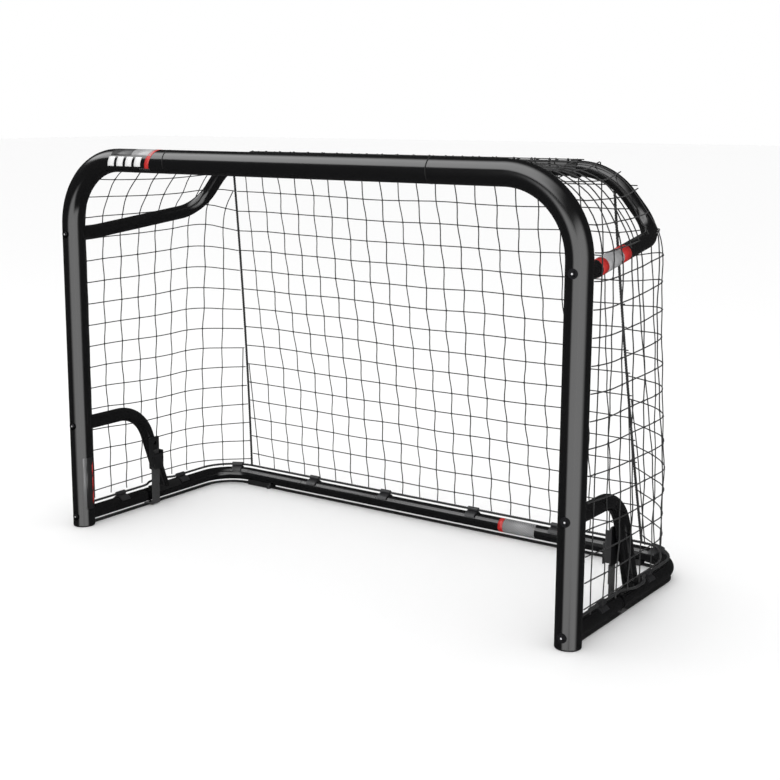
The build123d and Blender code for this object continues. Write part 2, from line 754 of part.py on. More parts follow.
for name, side in sides:
    # Flat beside the post and the hoop, then ruled between the sections as the arms come in.
    with BuildPart() as side_net:
        with BuildSketch(Plane.YZ.offset(net_x)):
            with Locations(((post_back + side_rear) / 2, (panel_low + hoop_top) / 2)):
                Rectangle(side_rear - post_back, hoop_top - panel_low)
        extrude(amount=panel_t)
        for front, rear in (
            (front_upright, rear_upright),
            (front_lean, rear_lean),
            (front_round, rear_round),
        ):
            with BuildSketch(Plane.XZ.offset(-post_back)):
                add(front.sketch)
            extrude(amount=-arm_run)
            with BuildSketch(Plane.XZ.offset(-arm_start)):
                add(front.sketch)
            with BuildSketch(Plane.XZ.offset(-side_rear)):
                add(rear.sketch)
            loft(ruled=True)
        if side < 0:
            mirror(about=Plane.YZ, mode=Mode.REPLACE)
    side_net.part.label = f"net_{name}"
    export_step(side_net.part, f"parts/net_{name}.step")

    # Corner panel between the side panel's rear edge and the corner rope.
    with BuildPart() as corner_net:
        bend_edge = bend_out(panel_skin)
        for z, edge_x in (
            (panel_low, net_x),
            (hoop_top, net_x),
            (bend_edge[1], bend_edge[0]),
            (rope_top, riser_x(rope_top)),
        ):
            rope_side = rope_x(z) + rope_clear
            with BuildSketch(Plane.XY.offset(z)):
                with BuildLine():
                    Polyline(
                        (side * edge_x, side_rear + panel_gap),
                        (side * (edge_x + panel_t), side_rear + panel_gap + panel_t),
                        (side * rope_side, back_y(z) + panel_t),
                        (side * rope_side, back_y(z)),
                        (side * edge_x, side_rear + panel_gap),
                    )
                make_face()
        loft(ruled=True)
    corner_net.part.label = f"net_corner_{name}"
    export_step(corner_net.part, f"parts/net_corner_{name}.step")

    with BuildPart() as rope:
        with BuildLine() as route:
            Line(
                (side * rope_x(panel_low), back_y(panel_low) - rope_d, panel_low),
                (side * rope_x(rope_top), back_y(rope_top) - rope_d, rope_top),
            )
        with BuildSketch(Plane(origin=route.line @ 0, z_dir=route.line % 0)):
            Circle(rope_d / 2)
        sweep(path=route.line)
    rope.part.label = f"corner_rope_{name}"
    export_step(rope.part, f"parts/corner_rope_{name}.step")

back_run = back_low[0] - back_top[0]
back_rise = back_top[1] - back_low[1]
slope = sqrt(back_run**2 + back_rise**2)
rope_slope = slope * (rope_top - panel_low) / back_rise
with BuildPart() as rear_net:
    with BuildSketch(
        Plane(origin=(0, back_low[0], back_low[1]), x_dir=(-1, 0, 0), z_dir=(0, back_rise, back_run))
    ):
        with BuildLine():
            Polyline(
                (-rope_low_x, 0),
                (rope_low_x, 0),
                (rope_x(rope_top), rope_slope),
                (turn_x, slope),
                (-turn_x, slope),
                (-rope_x(rope_top), rope_slope),
                (-rope_low_x, 0),
            )
        make_face()
    extrude(amount=panel_t)
rear_net.part.label = "net_rear"
export_step(rear_net.part, "parts/net_rear.step")

with BuildPart() as top_net:
    with BuildSketch(Plane.XY.offset(net_top)):
        with BuildLine():
            front_half = front_turn_x - panel_gap
            rear_half = turn_x - panel_gap
            Polyline(
                (-front_half, post_back),
                (front_half, post_back),
                (front_half, arm_start),
                (rear_half, side_rear),
                (-rear_half, side_rear),
                (-front_half, arm_start),
                (-front_half, post_back),
            )
        make_face()
    extrude(amount=panel_t)
top_net.part.label = "net_top"
export_step(top_net.part, "parts/net_top.step")
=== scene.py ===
import bpy
import bmesh
import json
from math import ceil, cos, degrees, hypot, pi, radians, sin
from random import Random
from mathutils import Matrix, Vector, noise


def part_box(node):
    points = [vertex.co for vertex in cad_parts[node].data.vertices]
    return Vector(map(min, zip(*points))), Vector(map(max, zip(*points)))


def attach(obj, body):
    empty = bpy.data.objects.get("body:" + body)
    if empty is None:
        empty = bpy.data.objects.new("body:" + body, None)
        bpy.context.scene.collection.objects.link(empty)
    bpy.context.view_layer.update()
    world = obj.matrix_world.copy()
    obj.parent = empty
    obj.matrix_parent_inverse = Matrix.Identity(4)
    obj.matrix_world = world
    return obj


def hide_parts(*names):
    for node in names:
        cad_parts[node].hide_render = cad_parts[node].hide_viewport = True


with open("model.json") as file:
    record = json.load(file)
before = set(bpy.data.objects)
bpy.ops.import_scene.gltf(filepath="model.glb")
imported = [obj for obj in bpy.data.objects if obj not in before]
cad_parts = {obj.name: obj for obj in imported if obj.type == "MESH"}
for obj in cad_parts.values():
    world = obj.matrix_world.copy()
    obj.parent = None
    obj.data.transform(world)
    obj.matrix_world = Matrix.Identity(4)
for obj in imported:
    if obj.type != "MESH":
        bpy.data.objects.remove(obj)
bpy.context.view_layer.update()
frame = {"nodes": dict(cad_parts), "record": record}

# A small steel-tube street hockey goal with a knotted net. Metres, same frame as the loaded model:
# open front towards -Y, +X to the right, +Z up, floor at z = 0.
mm = 0.001
sides = (("left", -1), ("right", 1))
print("frame loaded:", len(frame["nodes"]), "nodes")


# places taken from the loaded model

postLow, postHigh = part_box("post_right")
postRadius = (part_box("crossbar_middle")[1].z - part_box("crossbar_middle")[0].z) / 2
postX = postHigh.x - postRadius
postY = postLow.y + postRadius
barZ = postHigh.z - postRadius
rearBarLow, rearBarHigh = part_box("upper_rear_bar")
tubeRadius = (rearBarHigh.z - rearBarLow.z) / 2
rearBarY = (rearBarLow.y + rearBarHigh.y) / 2
groundLow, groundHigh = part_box("ground_rear_tube")
groundZ = (groundLow.z + groundHigh.z) / 2
groundY = (groundLow.y + groundHigh.y) / 2
cordLow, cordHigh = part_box("border_cord")
cordZ = (cordLow.z + cordHigh.z) / 2
cordRadius = (cordHigh.z - cordLow.z) / 2
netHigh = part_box("net_right")[1]
ropeLow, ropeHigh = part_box("corner_rope_right")


# small helpers

def linearColor(hexText):
    # sRGB hex to the linear values that shaders take
    channels = [int(hexText[i:i + 2], 16) / 255 for i in (1, 3, 5)]
    return tuple(c / 12.92 if c <= 0.04045 else ((c + 0.055) / 1.055) ** 2.4 for c in channels) + (1.0,)


def addNode(tree, kind, settings=None, links=None):
    # settings: attributes or input values by name; links: input name -> output socket
    node = tree.nodes.new(kind)
    for key, value in (settings or {}).items():
        if isinstance(key, str) and hasattr(node, key) and key not in node.inputs:
            setattr(node, key, value)
        else:
            node.inputs[key].default_value = value
    for key, socket in (links or {}).items():
        tree.links.new(socket, node.inputs[key])
    return node


def newMaterial(name, color, roughness, settings=None):
    material = bpy.data.materials.new(name)
    material.use_nodes = True
    tree = material.node_tree
    shader = tree.nodes["Principled BSDF"]
    shader.inputs["Base Color"].default_value = linearColor(color)
    shader.inputs["Roughness"].default_value = roughness
    for key, value in (settings or {}).items():
        shader.inputs[key].default_value = value
    coords = addNode(tree, "ShaderNodeTexCoord")
    return material, tree, shader, coords.outputs["Object"]


def noiseNode(tree, coords, sizeMm, detail=2.0):
    # one noise feature is about sizeMm across
    settings = {"Scale": 1 / (sizeMm * mm), "Detail": detail}
    return addNode(tree, "ShaderNodeTexNoise", settings, {"Vector": coords})


def rampNode(tree, factor, stops):
    ramp = addNode(tree, "ShaderNodeValToRGB", links={"Fac": factor})
    for index, (place, color) in enumerate(stops):
        element = ramp.color_ramp.elements[index] if index < 2 else ramp.color_ramp.elements.new(place)
        element.position = place
        element.color = linearColor(color)
    return ramp


def addBump(tree, shader, height, distanceMm, strength=1.0):
    bump = addNode(
        tree, "ShaderNodeBump", {"Distance": distanceMm * mm, "Strength": strength}, {"Height": height}
    )
    tree.links.new(bump.outputs["Normal"], shader.inputs["Normal"])
    return bump


def spreadValue(tree, source, low, high):
    # spreads a 0-1 pattern between two values
    node = addNode(tree, "ShaderNodeMapRange", {"To Min": low, "To Max": high}, {"Value": source})
    return node.outputs["Result"]


def addPiece(name, mesh, material, body="goal", replaced=()):
    piece = bpy.data.objects.new(name, mesh)
    bpy.context.scene.collection.objects.link(piece)
    mesh.materials.clear()
    mesh.materials.append(material)
    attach(piece, body)
    if replaced:
        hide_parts(*replaced)
    return piece


def meshFrom(bm, name, smooth=True):
    mesh = bpy.data.meshes.new(name)
    bm.to_mesh(mesh)
    bm.free()
    if smooth:
        mesh.shade_smooth()
    return mesh


# camera and light

cameraPlace = {
    "location": (1.55223, -2.17602, 0.88019),
    "pitch": 79.3927,
    "turn": 36.1788,
    "lens": 63.225,
    "shiftX": 0.0527,
    "shiftY": -0.0333,
}
camera = bpy.data.objects.new("camera", bpy.data.cameras.new("camera"))
bpy.context.scene.collection.objects.link(camera)
camera.location = cameraPlace["location"]
camera.rotation_euler = (radians(cameraPlace["pitch"]), 0, radians(cameraPlace["turn"]))
camera.data.lens = cameraPlace["lens"]
camera.data.shift_x = cameraPlace["shiftX"]
camera.data.shift_y = cameraPlace["shiftY"]
bpy.context.scene.camera = camera

studio = {
    "background": "#ffffff",
    "fill": 1.05,
    "inReflections": 0.03,
    "floor": "#fbfbfb",
    "floorSize": 60,
    "lampPlace": (-0.5, -0.6, 3.2),
    "lampSize": 2.2,
    "lampPower": 14,
}
lampData = bpy.data.lights.new("softOverhead", "AREA")
lampData.size = studio["lampSize"]
lampData.energy = studio["lampPower"]
lamp = bpy.data.objects.new("softOverhead", lampData)
bpy.context.scene.collection.objects.link(lamp)
lamp.location = studio["lampPlace"]
lamp.visible_glossy = False

# White cards that only show as reflections on the gloss paint: on the right, in front and above.
cards = {
    # name: middle, width, height, turn about X and Z in degrees, brightness
    "sideCard": ((3.0, -2.7, 0.2), 6.4, 5.2, (90, 90), 2.3),
    "frontCard": ((1.3, -4.4, -0.2), 6.4, 5.2, (90, 0), 2.3),
    "topCard": ((-2.6, -2.5, 3.3), 10.0, 6.4, (0, 0), 3.2),
}
cardFade = 0.45  # share of each half over which a card's light fades out


def cardLight(width, height, brightness):
    # a glow that fades out softly towards the card's four edges
    material = bpy.data.materials.new("white reflector card")
    material.use_nodes = True
    tree = material.node_tree
    shader = tree.nodes["Principled BSDF"]
    shader.inputs["Base Color"].default_value = linearColor("#000000")
    shader.inputs["Emission Color"].default_value = linearColor("#ffffff")
    coords = addNode(tree, "ShaderNodeTexCoord")
    flat = addNode(tree, "ShaderNodeSeparateXYZ", links={"Vector": coords.outputs["Object"]})
    fades = []
    for axis, size, most in (("X", width, brightness), ("Y", height, 1.0)):
        offset = addNode(tree, "ShaderNodeMath", {"operation": "ABSOLUTE"}, {0: flat.outputs[axis]})
        fade = addNode(
            tree,
            "ShaderNodeMapRange",
            {
                "interpolation_type": "SMOOTHSTEP",
                "From Min": size / 2,
                "From Max": size / 2 * (1 - cardFade),
                "To Max": most,
            },
            {"Value": offset.outputs["Value"]},
        )
        fades.append(fade.outputs["Result"])
    glow = addNode(tree, "ShaderNodeMath", {"operation": "MULTIPLY"}, {0: fades[0], 1: fades[1]})
    tree.links.new(glow.outputs["Value"], shader.inputs["Emission Strength"])
    return material


for name, (middle, cardWidth, cardHeight, (tilt, turn), brightness) in cards.items():
    bm = bmesh.new()
    bmesh.ops.create_grid(bm, x_segments=1, y_segments=1, size=0.5)
    bmesh.ops.scale(bm, vec=(cardWidth, cardHeight, 1), verts=bm.verts)
    card = bpy.data.objects.new(name, meshFrom(bm, name, smooth=False))
    bpy.context.scene.collection.objects.link(card)
    card.location = middle
    card.rotation_euler = (radians(tilt), 0, radians(turn))
    card.data.materials.append(cardLight(cardWidth, cardHeight, brightness))
    card.visible_camera = False
    card.visible_diffuse = False
    card.visible_shadow = False
    card.visible_transmission = False

world = bpy.data.worlds.new("studio")
bpy.context.scene.world = world
world.use_nodes = True
worldTree = world.node_tree
rays = addNode(worldTree, "ShaderNodeLightPath")
glossy = addNode(
    worldTree,
    "ShaderNodeMapRange",
    {"To Min": studio["fill"], "To Max": studio["inReflections"]},
    {"Value": rays.outputs["Is Glossy Ray"]},
)
seen = addNode(
    worldTree,
    "ShaderNodeMix",
    {"data_type": "FLOAT", "B": 1.0},
    {"Factor": rays.outputs["Is Camera Ray"], "A": glossy.outputs["Result"]},
)
backdrop = worldTree.nodes["Background"]
backdrop.inputs["Color"].default_value = linearColor(studio["background"])
worldTree.links.new(seen.outputs["Result"], backdrop.inputs["Strength"])
bpy.context.scene.view_settings.view_transform = "Standard"

bm = bmesh.new()
bmesh.ops.create_grid(bm, x_segments=1, y_segments=1, size=studio["floorSize"] / 2)
floor = bpy.data.objects.new("floor", meshFrom(bm, "floor", smooth=False))
bpy.context.scene.collection.objects.link(floor)
floor.location.z = -0.2 * mm
floorMaterial, _, floorShader, _ = newMaterial("pale studio floor", studio["floor"], 0.85)
floorShader.inputs["Specular IOR Level"].default_value = 0.1
floor.data.materials.append(floorMaterial)
floor.visible_glossy = False
print("camera, lights and floor set")


# materials

def powderCoat(name="gloss black polyester powder coat", color="#121213"):
    # baked powder over steel: deep black, glossy, with a faint orange peel a few millimetres across
    material, tree, shader, coords = newMaterial(name, color, 0.2, {"IOR": 1.55, "Coat Weight": 0.35})
    shader.inputs["Coat Roughness"].default_value = 0.1
    peel = noiseNode(tree, coords, 3.0, 2.0)
    wear = noiseNode(tree, coords, 60.0, 4.0)
    tree.links.new(spreadValue(tree, wear.outputs["Fac"], 0.15, 0.23), shader.inputs["Roughness"])
    addBump(tree, shader, peel.outputs["Fac"], 0.01)
    return material


def drawnSteel(name, color, roughness=0.32, grainMm=0.6):
    # bare or plated steel: fine drawn lines and a slightly cloudy shine
    material, tree, shader, coords = newMaterial(name, color, roughness, {"Metallic": 1.0})
    stretch = addNode(tree, "ShaderNodeMapping", {"Scale": (0.08, 1.0, 1.0)}, {"Vector": coords})
    lines = noiseNode(tree, stretch.outputs["Vector"], grainMm, 3.0)
    gloss = spreadValue(tree, lines.outputs["Fac"], roughness - 0.08, roughness + 0.1)
    tree.links.new(gloss, shader.inputs["Roughness"])
    addBump(tree, shader, lines.outputs["Fac"], 0.01)
    return material


def mouldedPlastic(name, color, roughness=0.5, grainMm=0.8):
    # injection moulded, spark-eroded grain: satin, never a mirror
    material, tree, shader, coords = newMaterial(name, color, roughness, {"IOR": 1.49})
    grain = noiseNode(tree, coords, grainMm, 1.0)
    cloud = noiseNode(tree, coords, 25.0, 3.0)
    gloss = spreadValue(tree, cloud.outputs["Fac"], roughness - 0.06, roughness + 0.08)
    tree.links.new(gloss, shader.inputs["Roughness"])
    addBump(tree, shader, grain.outputs["Fac"], 0.03)
    return material


def wovenWebbing():
    # flat polypropylene webbing: 1.6 mm ribs across the strap and 1.2 mm yarns along it
    material, tree, shader, coords = newMaterial(
        "woven polypropylene webbing", "#151516", 0.75, {"Sheen Weight": 0.3, "Sheen Roughness": 0.5}
    )
    ribs = addNode(
        tree,
        "ShaderNodeTexWave",
        {"bands_direction": "Z", "Scale": 0.314 / (1.6 * mm), "Distortion": 0.4, "Detail": 1.0},
        {"Vector": coords},
    )
    yarns = addNode(
        tree,
        "ShaderNodeTexWave",
        {"bands_direction": "Y", "Scale": 0.314 / (1.2 * mm), "Distortion": 0.4, "Detail": 1.0},
        {"Vector": coords},
    )
    weave = addNode(
        tree,
        "ShaderNodeMath",
        {"operation": "MULTIPLY"},
        {0: ribs.outputs["Fac"], 1: yarns.outputs["Fac"]},
    )
    # painted shade and highlight: the weave's hollows are darker and its raised crossings lighter, following
    # the same pattern as the bump
    color = rampNode(tree, weave.outputs["Value"], ((0.0, "#101011"), (1.0, "#2c2c2e")))
    tree.links.new(color.outputs["Color"], shader.inputs["Base Color"])
    addBump(tree, shader, weave.outputs["Value"], 0.25)
    return material


def darkFloorStrip():
    # matt near-black strip on the floor under the ground tube, faintly dusty
    material, tree, shader, coords = newMaterial("matt black floor strip", "#202021", 0.7)
    dust = noiseNode(tree, coords, 18.0, 5.0)
    color = rampNode(tree, dust.outputs["Fac"], ((0.35, "#1b1b1c"), (0.75, "#323233")))
    tree.links.new(color.outputs["Color"], shader.inputs["Base Color"])
    addBump(tree, shader, noiseNode(tree, coords, 1.2, 2.0).outputs["Fac"], 0.04)
    return material


def twistedTwine(name, color, dark, fiberMm=0.35):
    # twisted polyethylene: waxy black fibres, soft sheen; the fibre crowns are painted lighter and the
    # hollows between them darker, painted highlight and shade that follow the bump, mixed with slow random
    # tone
    material, tree, shader, coords = newMaterial(name, color, 0.55, {"Sheen Weight": 0.15})
    fibers = noiseNode(tree, coords, fiberMm, 2.0)
    cloud = noiseNode(tree, coords, 30.0, 2.0)
    mixed = addNode(
        tree, "ShaderNodeMath", {"operation": "MULTIPLY"}, {0: fibers.outputs["Fac"], 1: cloud.outputs["Fac"]}
    )
    # painted highlight on the fibre crowns and painted shade between them, times random tone
    tint = rampNode(tree, mixed.outputs["Value"], ((0.12, dark), (0.45, color)))
    tree.links.new(tint.outputs["Color"], shader.inputs["Base Color"])
    addBump(tree, shader, fibers.outputs["Fac"], 0.08)
    return material


def printedVinyl(name, color, roughness=0.38):
    # printed film under a clear satin laminate
    material, tree, shader, coords = newMaterial(name, color, roughness, {"Coat Weight": 0.2})
    shader.inputs["Coat Roughness"].default_value = 0.25
    addBump(tree, shader, noiseNode(tree, coords, 9.0, 2.0).outputs["Fac"], 0.03)
    return material


def hatchedVinyl():
    # light grey film printed with fine dark lines, crossing every 3 mm
    material, tree, shader, coords = newMaterial("label film, cross-hatched grey", "#b0b0b1", 0.4)
    lines = []
    for turn in (35, -35):
        turned = addNode(tree, "ShaderNodeMapping", {"Rotation": (0, radians(turn), 0)}, {"Vector": coords})
        lines.append(
            addNode(
                tree,
                "ShaderNodeTexWave",
                {"bands_direction": "Z", "Scale": 0.314 / (3.0 * mm)},
                {"Vector": turned.outputs["Vector"]},
            )
        )
    crossed = addNode(
        tree,
        "ShaderNodeMath",
        {"operation": "MULTIPLY"},
        {0: lines[0].outputs["Fac"], 1: lines[1].outputs["Fac"]},
    )
    color = rampNode(tree, crossed.outputs["Value"], ((0.05, "#4e4e4f"), (0.3, "#b9b9ba")))
    tree.links.new(color.outputs["Color"], shader.inputs["Base Color"])
    return material


materials = {
    "frame_paint": powderCoat(),
    "sleeve_steel": drawnSteel("black phosphated steel tube", "#232325", 0.45),
    "bolt_steel": drawnSteel("black oxide steel", "#2a2a2c", 0.34),
    "foot_plastic": mouldedPlastic("moulded black polypropylene", "#161617", 0.5),
    "buckle_paint": mouldedPlastic("black epoxy over pressed steel", "#1a1a1c", 0.42, 0.5),
    "strap_webbing": wovenWebbing(),
    "floor_rubber": darkFloorStrip(),
    "clip_plastic": mouldedPlastic("dark grey moulded nylon", "#29292b", 0.42),
    "border_rope": twistedTwine("braided polyester rope", "#1e1e20", "#0b0b0c", 0.8),
    "net_twine": twistedTwine("twisted polyethylene twine", "#1d1d1f", "#0b0b0c"),
}
labelMaterials = {
    "dark": printedVinyl("label film, charcoal", "#3b3b3c"),
    "mid": printedVinyl("label film, mid grey", "#727273"),
    "light": printedVinyl("label film, light grey", "#a9a9aa"),
    "white": printedVinyl("label film, white", "#f2f2f2"),
    "red": printedVinyl("label film, red", "#c8201c"),
    "smoke": printedVinyl("label film, smoke", "#262627", 0.3),
    "hatch": hatchedVinyl(),
    # painted shade: a near-black matt film for the shade in the crossbar's tube joints
    "jointShade": mouldedPlastic("painted shade in the joint between tubes", "#050505", 0.9),
}

slotOf = {s["node"]: s["material_slot"] for s in frame["record"]["subparts"]}
for name, node in frame["nodes"].items():
    node.data.materials.clear()
    node.data.materials.append(materials[slotOf[name]])
print("materials made:", len(bpy.data.materials))


# ropes and twine as round strands

def curveMesh(name, lines, radius, resolution=3, sidesStep=1):
    # lines: lists of points that a smooth strand runs through; gives one joined tube mesh
    curve = bpy.data.curves.new(name, "CURVE")
    curve.dimensions = "3D"
    curve.bevel_depth = radius
    curve.bevel_resolution = sidesStep
    curve.resolution_u = resolution
    curve.use_fill_caps = True
    for line in lines:
        spline = curve.splines.new("BEZIER")
        spline.bezier_points.add(len(line) - 1)
        for point, place in zip(spline.bezier_points, line):
            point.co = place
            point.handle_left_type = point.handle_right_type = "AUTO"
    holder = bpy.data.objects.new(name, curve)
    mesh = bpy.data.meshes.new_from_object(holder)
    bpy.data.objects.remove(holder)
    bpy.data.curves.remove(curve)
    mesh.name = name
    mesh.shade_smooth()
    return mesh


def helixAround(points, radius, pitch, start=0.0, stepsPerTurn=10):
    # points of a helix that winds along a polyline, turning about its local direction
    result = []
    travelled = 0.0
    for a, b in zip(points, points[1:]):
        a, b = Vector(a), Vector(b)
        direction = (b - a).normalized()
        if result:
            across = (across - direction * across.dot(direction)).normalized()
        else:
            across = direction.orthogonal().normalized()
        upward = direction.cross(across)
        length = (b - a).length
        steps = max(1, round(length / pitch * stepsPerTurn))
        for i in range(steps):
            along = length * i / steps
            angle = start + 2 * pi * (travelled + along) / pitch
            result.append(a + direction * along + (across * cos(angle) + upward * sin(angle)) * radius)
        travelled += length
    return result


def roundCorners(points, radii, stepDegrees=12):
    # a polyline whose corners are arcs, as the tube of the same route has
    result = [Vector(points[0])]
    for before, corner, after, radius in zip(points, points[1:], points[2:], radii):
        before, corner, after = Vector(before), Vector(corner), Vector(after)
        inward, outward = (corner - before).normalized(), (after - corner).normalized()
        turn = inward.angle(outward)
        reach = radius * (1 - cos(turn)) / sin(turn)
        normal = inward.cross(outward).normalized()
        centre = corner - inward * reach + normal.cross(inward) * radius
        steps = max(1, ceil(degrees(turn) / stepDegrees))
        first = corner - inward * reach - centre
        for i in range(steps + 1):
            result.append(centre + Matrix.Rotation(turn * i / steps, 3, normal) @ first)
    result.append(Vector(points[-1]))
    return result


# the net: knotted square mesh, laid over the frame

netCut = {
    "cell": 45.3 * mm,
    "columnPitch": 48.5 * mm,  # the side and top nets are drawn a little wide of square
    "twine": 1.15 * mm,  # radius
    "wander": 5.0 * mm,  # slow waviness of the hung net
    "zigzag": 1.8 * mm,  # neighbouring knots sit alternately to each side
    "sag": 9.0 * mm,
    "calm": 90 * mm,  # distance from a tied edge to full waviness
    "firstRow": 16 * mm,  # border cord to the first row
    "firstColumn": 24 * mm,  # front frame to the first column
    "fold": 55 * mm,  # reach of the soft turn at the rear corners
    "tightFold": 9 * mm,  # and of the turn where a tube lies inside it
    "foldOnset": 6,  # how late, going up, the turn tightens
    "leastStub": 6 * mm,  # a knot nearer than this to the rope is left out
    "halvings": 20,  # steps of the search for where a strand meets the rope
}
shape = {
    "hoopTop": 235.0 * mm,
    "frontTurnZ": 640.0 * mm,  # where the front corners start to bend
    "lean": radians(40.03),  # of the rear frame's slanting parts, off the vertical
    "bendX": 565.0 * mm,  # the net over the bend of an arm
    "bendZ": 663.0 * mm,
    "rearTurnX": 394.9 * mm,  # middle of the rear frame's round corners
    "rearTurnZ": 640.0 * mm,
    "ropeTop": 738.0 * mm,
    "armRun": 34.0 * mm,
}
sideX = netHigh.x - 0.75 * mm
roofZ = netHigh.z - 0.75 * mm
frontRadius = roofZ - shape["frontTurnZ"]
rearRadius = roofZ - shape["rearTurnZ"]
footZ = cordZ + cordRadius
rearTopY = rearBarHigh.y + netCut["twine"]
rearFootY = cordHigh.y
frontY = postY + postRadius
stages = (
    shape["hoopTop"] - footZ,
    shape["frontTurnZ"] - shape["hoopTop"],
    frontRadius * shape["lean"],
    frontRadius * (pi / 2 - shape["lean"]),
    sideX - frontRadius,
)
bandHalf = sum(stages)
turnCorner = (
    shape["rearTurnX"] + rearRadius * cos(shape["lean"]),
    shape["rearTurnZ"] + rearRadius * sin(shape["lean"]),
)


def ropeAt(z):
    # right-hand corner rope: x and y at height z
    share = (z - ropeLow.z) / (ropeHigh.z - ropeLow.z)
    x = ropeHigh.x - cordRadius + (ropeLow.x - ropeHigh.x + 2 * cordRadius) * share
    y = ropeHigh.y - cordRadius + (ropeLow.y - ropeHigh.y + 2 * cordRadius) * share
    return x, y


def stageOf(u):
    # which stretch of the band u falls in, and how far along it
    for index, length in enumerate(stages):
        if u < length or index == len(stages) - 1:
            return index, min(1.0, u / length)
        u -= length


def frontSection(u):
    stage, share = stageOf(u)
    if stage == 0:
        return sideX, footZ + stages[0] * share
    if stage == 1:
        return sideX, shape["hoopTop"] + stages[1] * share
    if stage == 4:
        return (sideX - frontRadius) * (1 - share), roofZ
    angle = shape["lean"] * share if stage == 2 else shape["lean"] + (pi / 2 - shape["lean"]) * share
    return sideX - frontRadius + frontRadius * cos(angle), shape["frontTurnZ"] + frontRadius * sin(angle)


def rearSection(u):
    stage, share = stageOf(u)
    if stage == 0:
        return sideX, footZ + stages[0] * share
    if stage == 1:
        x = sideX + (shape["bendX"] - sideX) * share
        return x, shape["hoopTop"] + (shape["bendZ"] - shape["hoopTop"]) * share
    if stage == 2:
        x = shape["bendX"] + (turnCorner[0] - shape["bendX"]) * share
        return x, shape["bendZ"] + (turnCorner[1] - shape["bendZ"]) * share
    if stage == 3:
        angle = shape["lean"] + (pi / 2 - shape["lean"]) * share
        return shape["rearTurnX"] + rearRadius * cos(angle), shape["rearTurnZ"] + rearRadius * sin(angle)
    return shape["rearTurnX"] * (1 - share), roofZ


def ropeSection(u):
    # where a row of the side net is tied to the corner rope, or None above the rope
    stage, share = stageOf(u)
    if stage == 0:
        z = footZ + stages[0] * share
    elif stage == 1:
        z = shape["hoopTop"] + stages[1] * share
    elif stage == 2:
        z = shape["frontTurnZ"] + (shape["ropeTop"] - shape["frontTurnZ"]) * share
    else:
        return None
    x, y = ropeAt(z)
    return x, y, z


def bandPoint(u, v):
    # v runs from the front frame back to the rear frame, then in to the corner rope
    side = -1
    if u > bandHalf:
        side, u = 1, 2 * bandHalf - u
    first = rearTopY - frontY
    frontX, frontZ = frontSection(u)
    rearX, rearZ = rearSection(u)
    rope = ropeSection(u)
    if v <= first or rope is None:
        share = min(1.0, max(0.0, v - shape["armRun"]) / (first - shape["armRun"]))
        x = frontX + (rearX - frontX) * share
        return Vector((side * x, frontY + min(v, first), frontZ + (rearZ - frontZ) * share))
    ropeX, ropeY, ropeZ = rope
    share = min(1.0, (v - first) / hypot(rearX - ropeX, ropeY - rearTopY))
    x = rearX + (ropeX - rearX) * share
    return Vector((side * x, rearTopY + (ropeY - rearTopY) * share, rearZ + (ropeZ - rearZ) * share))


def bandReach(u):
    # unrolled depth of the net at u
    u = min(u, 2 * bandHalf - u)
    rope = ropeSection(u)
    if rope is None:
        return rearTopY - frontY
    return rearTopY - frontY + hypot(rearSection(u)[0] - rope[0], rope[1] - rearTopY)


def softenFold(u, v):
    # averages the path over a short reach, so that the net turns its rear corner softly
    reach = bandReach(u)
    overTube = min(1.0, max(0.0, min(u, 2 * bandHalf - u) / (shape["frontTurnZ"] - footZ)))
    spread = netCut["fold"] + (netCut["tightFold"] - netCut["fold"]) * overTube ** netCut["foldOnset"]
    width = min(spread, v, max(0.0, reach - v))
    total = Vector((0, 0, 0))
    steps = (-1, -0.5, 0, 0.5, 1)
    for k in steps:
        total += bandPoint(u, v + k * width)
    return total / len(steps)


def holdOff(distance):
    # 0 on a tied edge, 1 well inside the net
    share = min(1.0, max(0.0, distance) / netCut["calm"])
    return share * share * (3 - 2 * share)


noise.seed_set(11)  # without a seed the waviness would differ from run to run


def wander(point, seed):
    return noise.noise_vector(point / (180 * mm) + Vector((seed, 0, 0))) * netCut["wander"]


def bandKnot(u, v, odd=0):
    # odd is +1 or -1 at a knot and 0 at a tied end
    place = softenFold(u, v)
    reach = bandReach(u)
    footGap = min(u, 2 * bandHalf - u)
    hold = holdOff(min(v, reach - v)) * holdOff(footGap + 0.3 * netCut["calm"])
    place += wander(place, 3.1) * hold
    place.y += odd * netCut["zigzag"] * hold
    sink = netCut["sag"] * 4 * (v / reach) * max(0.0, 1 - v / reach)
    place.z -= sink * min(1.0, footGap / netCut["calm"])
    return place


bandColumns = []
v = netCut["firstColumn"]
deepest = max(bandReach(0), rearTopY - frontY)
while v < deepest - 0.3 * netCut["columnPitch"]:
    bandColumns.append(v)
    v += netCut["columnPitch"]
rowSpan = 2 * (bandHalf - netCut["firstRow"])
rowTotal = round(rowSpan / netCut["cell"])
bandRows = [netCut["firstRow"] + rowSpan * row / rowTotal for row in range(rowTotal + 1)]

bandLines, knots = [], []
grid = {}
for row, u in enumerate(bandRows):
    reach = bandReach(u)
    line = [bandKnot(u, 0)]
    for column, v in enumerate(bandColumns):
        if v < reach - netCut["leastStub"]:
            knot = bandKnot(u, v, 1 if (row + column) % 2 else -1)
            grid[row, column] = knot
            line.append(knot)
            knots.append(knot)
    line.append(bandKnot(u, reach))
    bandLines.append(line)


def meetRope(v, inside, outside):
    # the u between these two at which a column runs into the rope
    for _ in range(netCut["halvings"]):
        middle = (inside + outside) / 2
        if bandReach(middle) > v:
            inside = middle
        else:
            outside = middle
    return inside


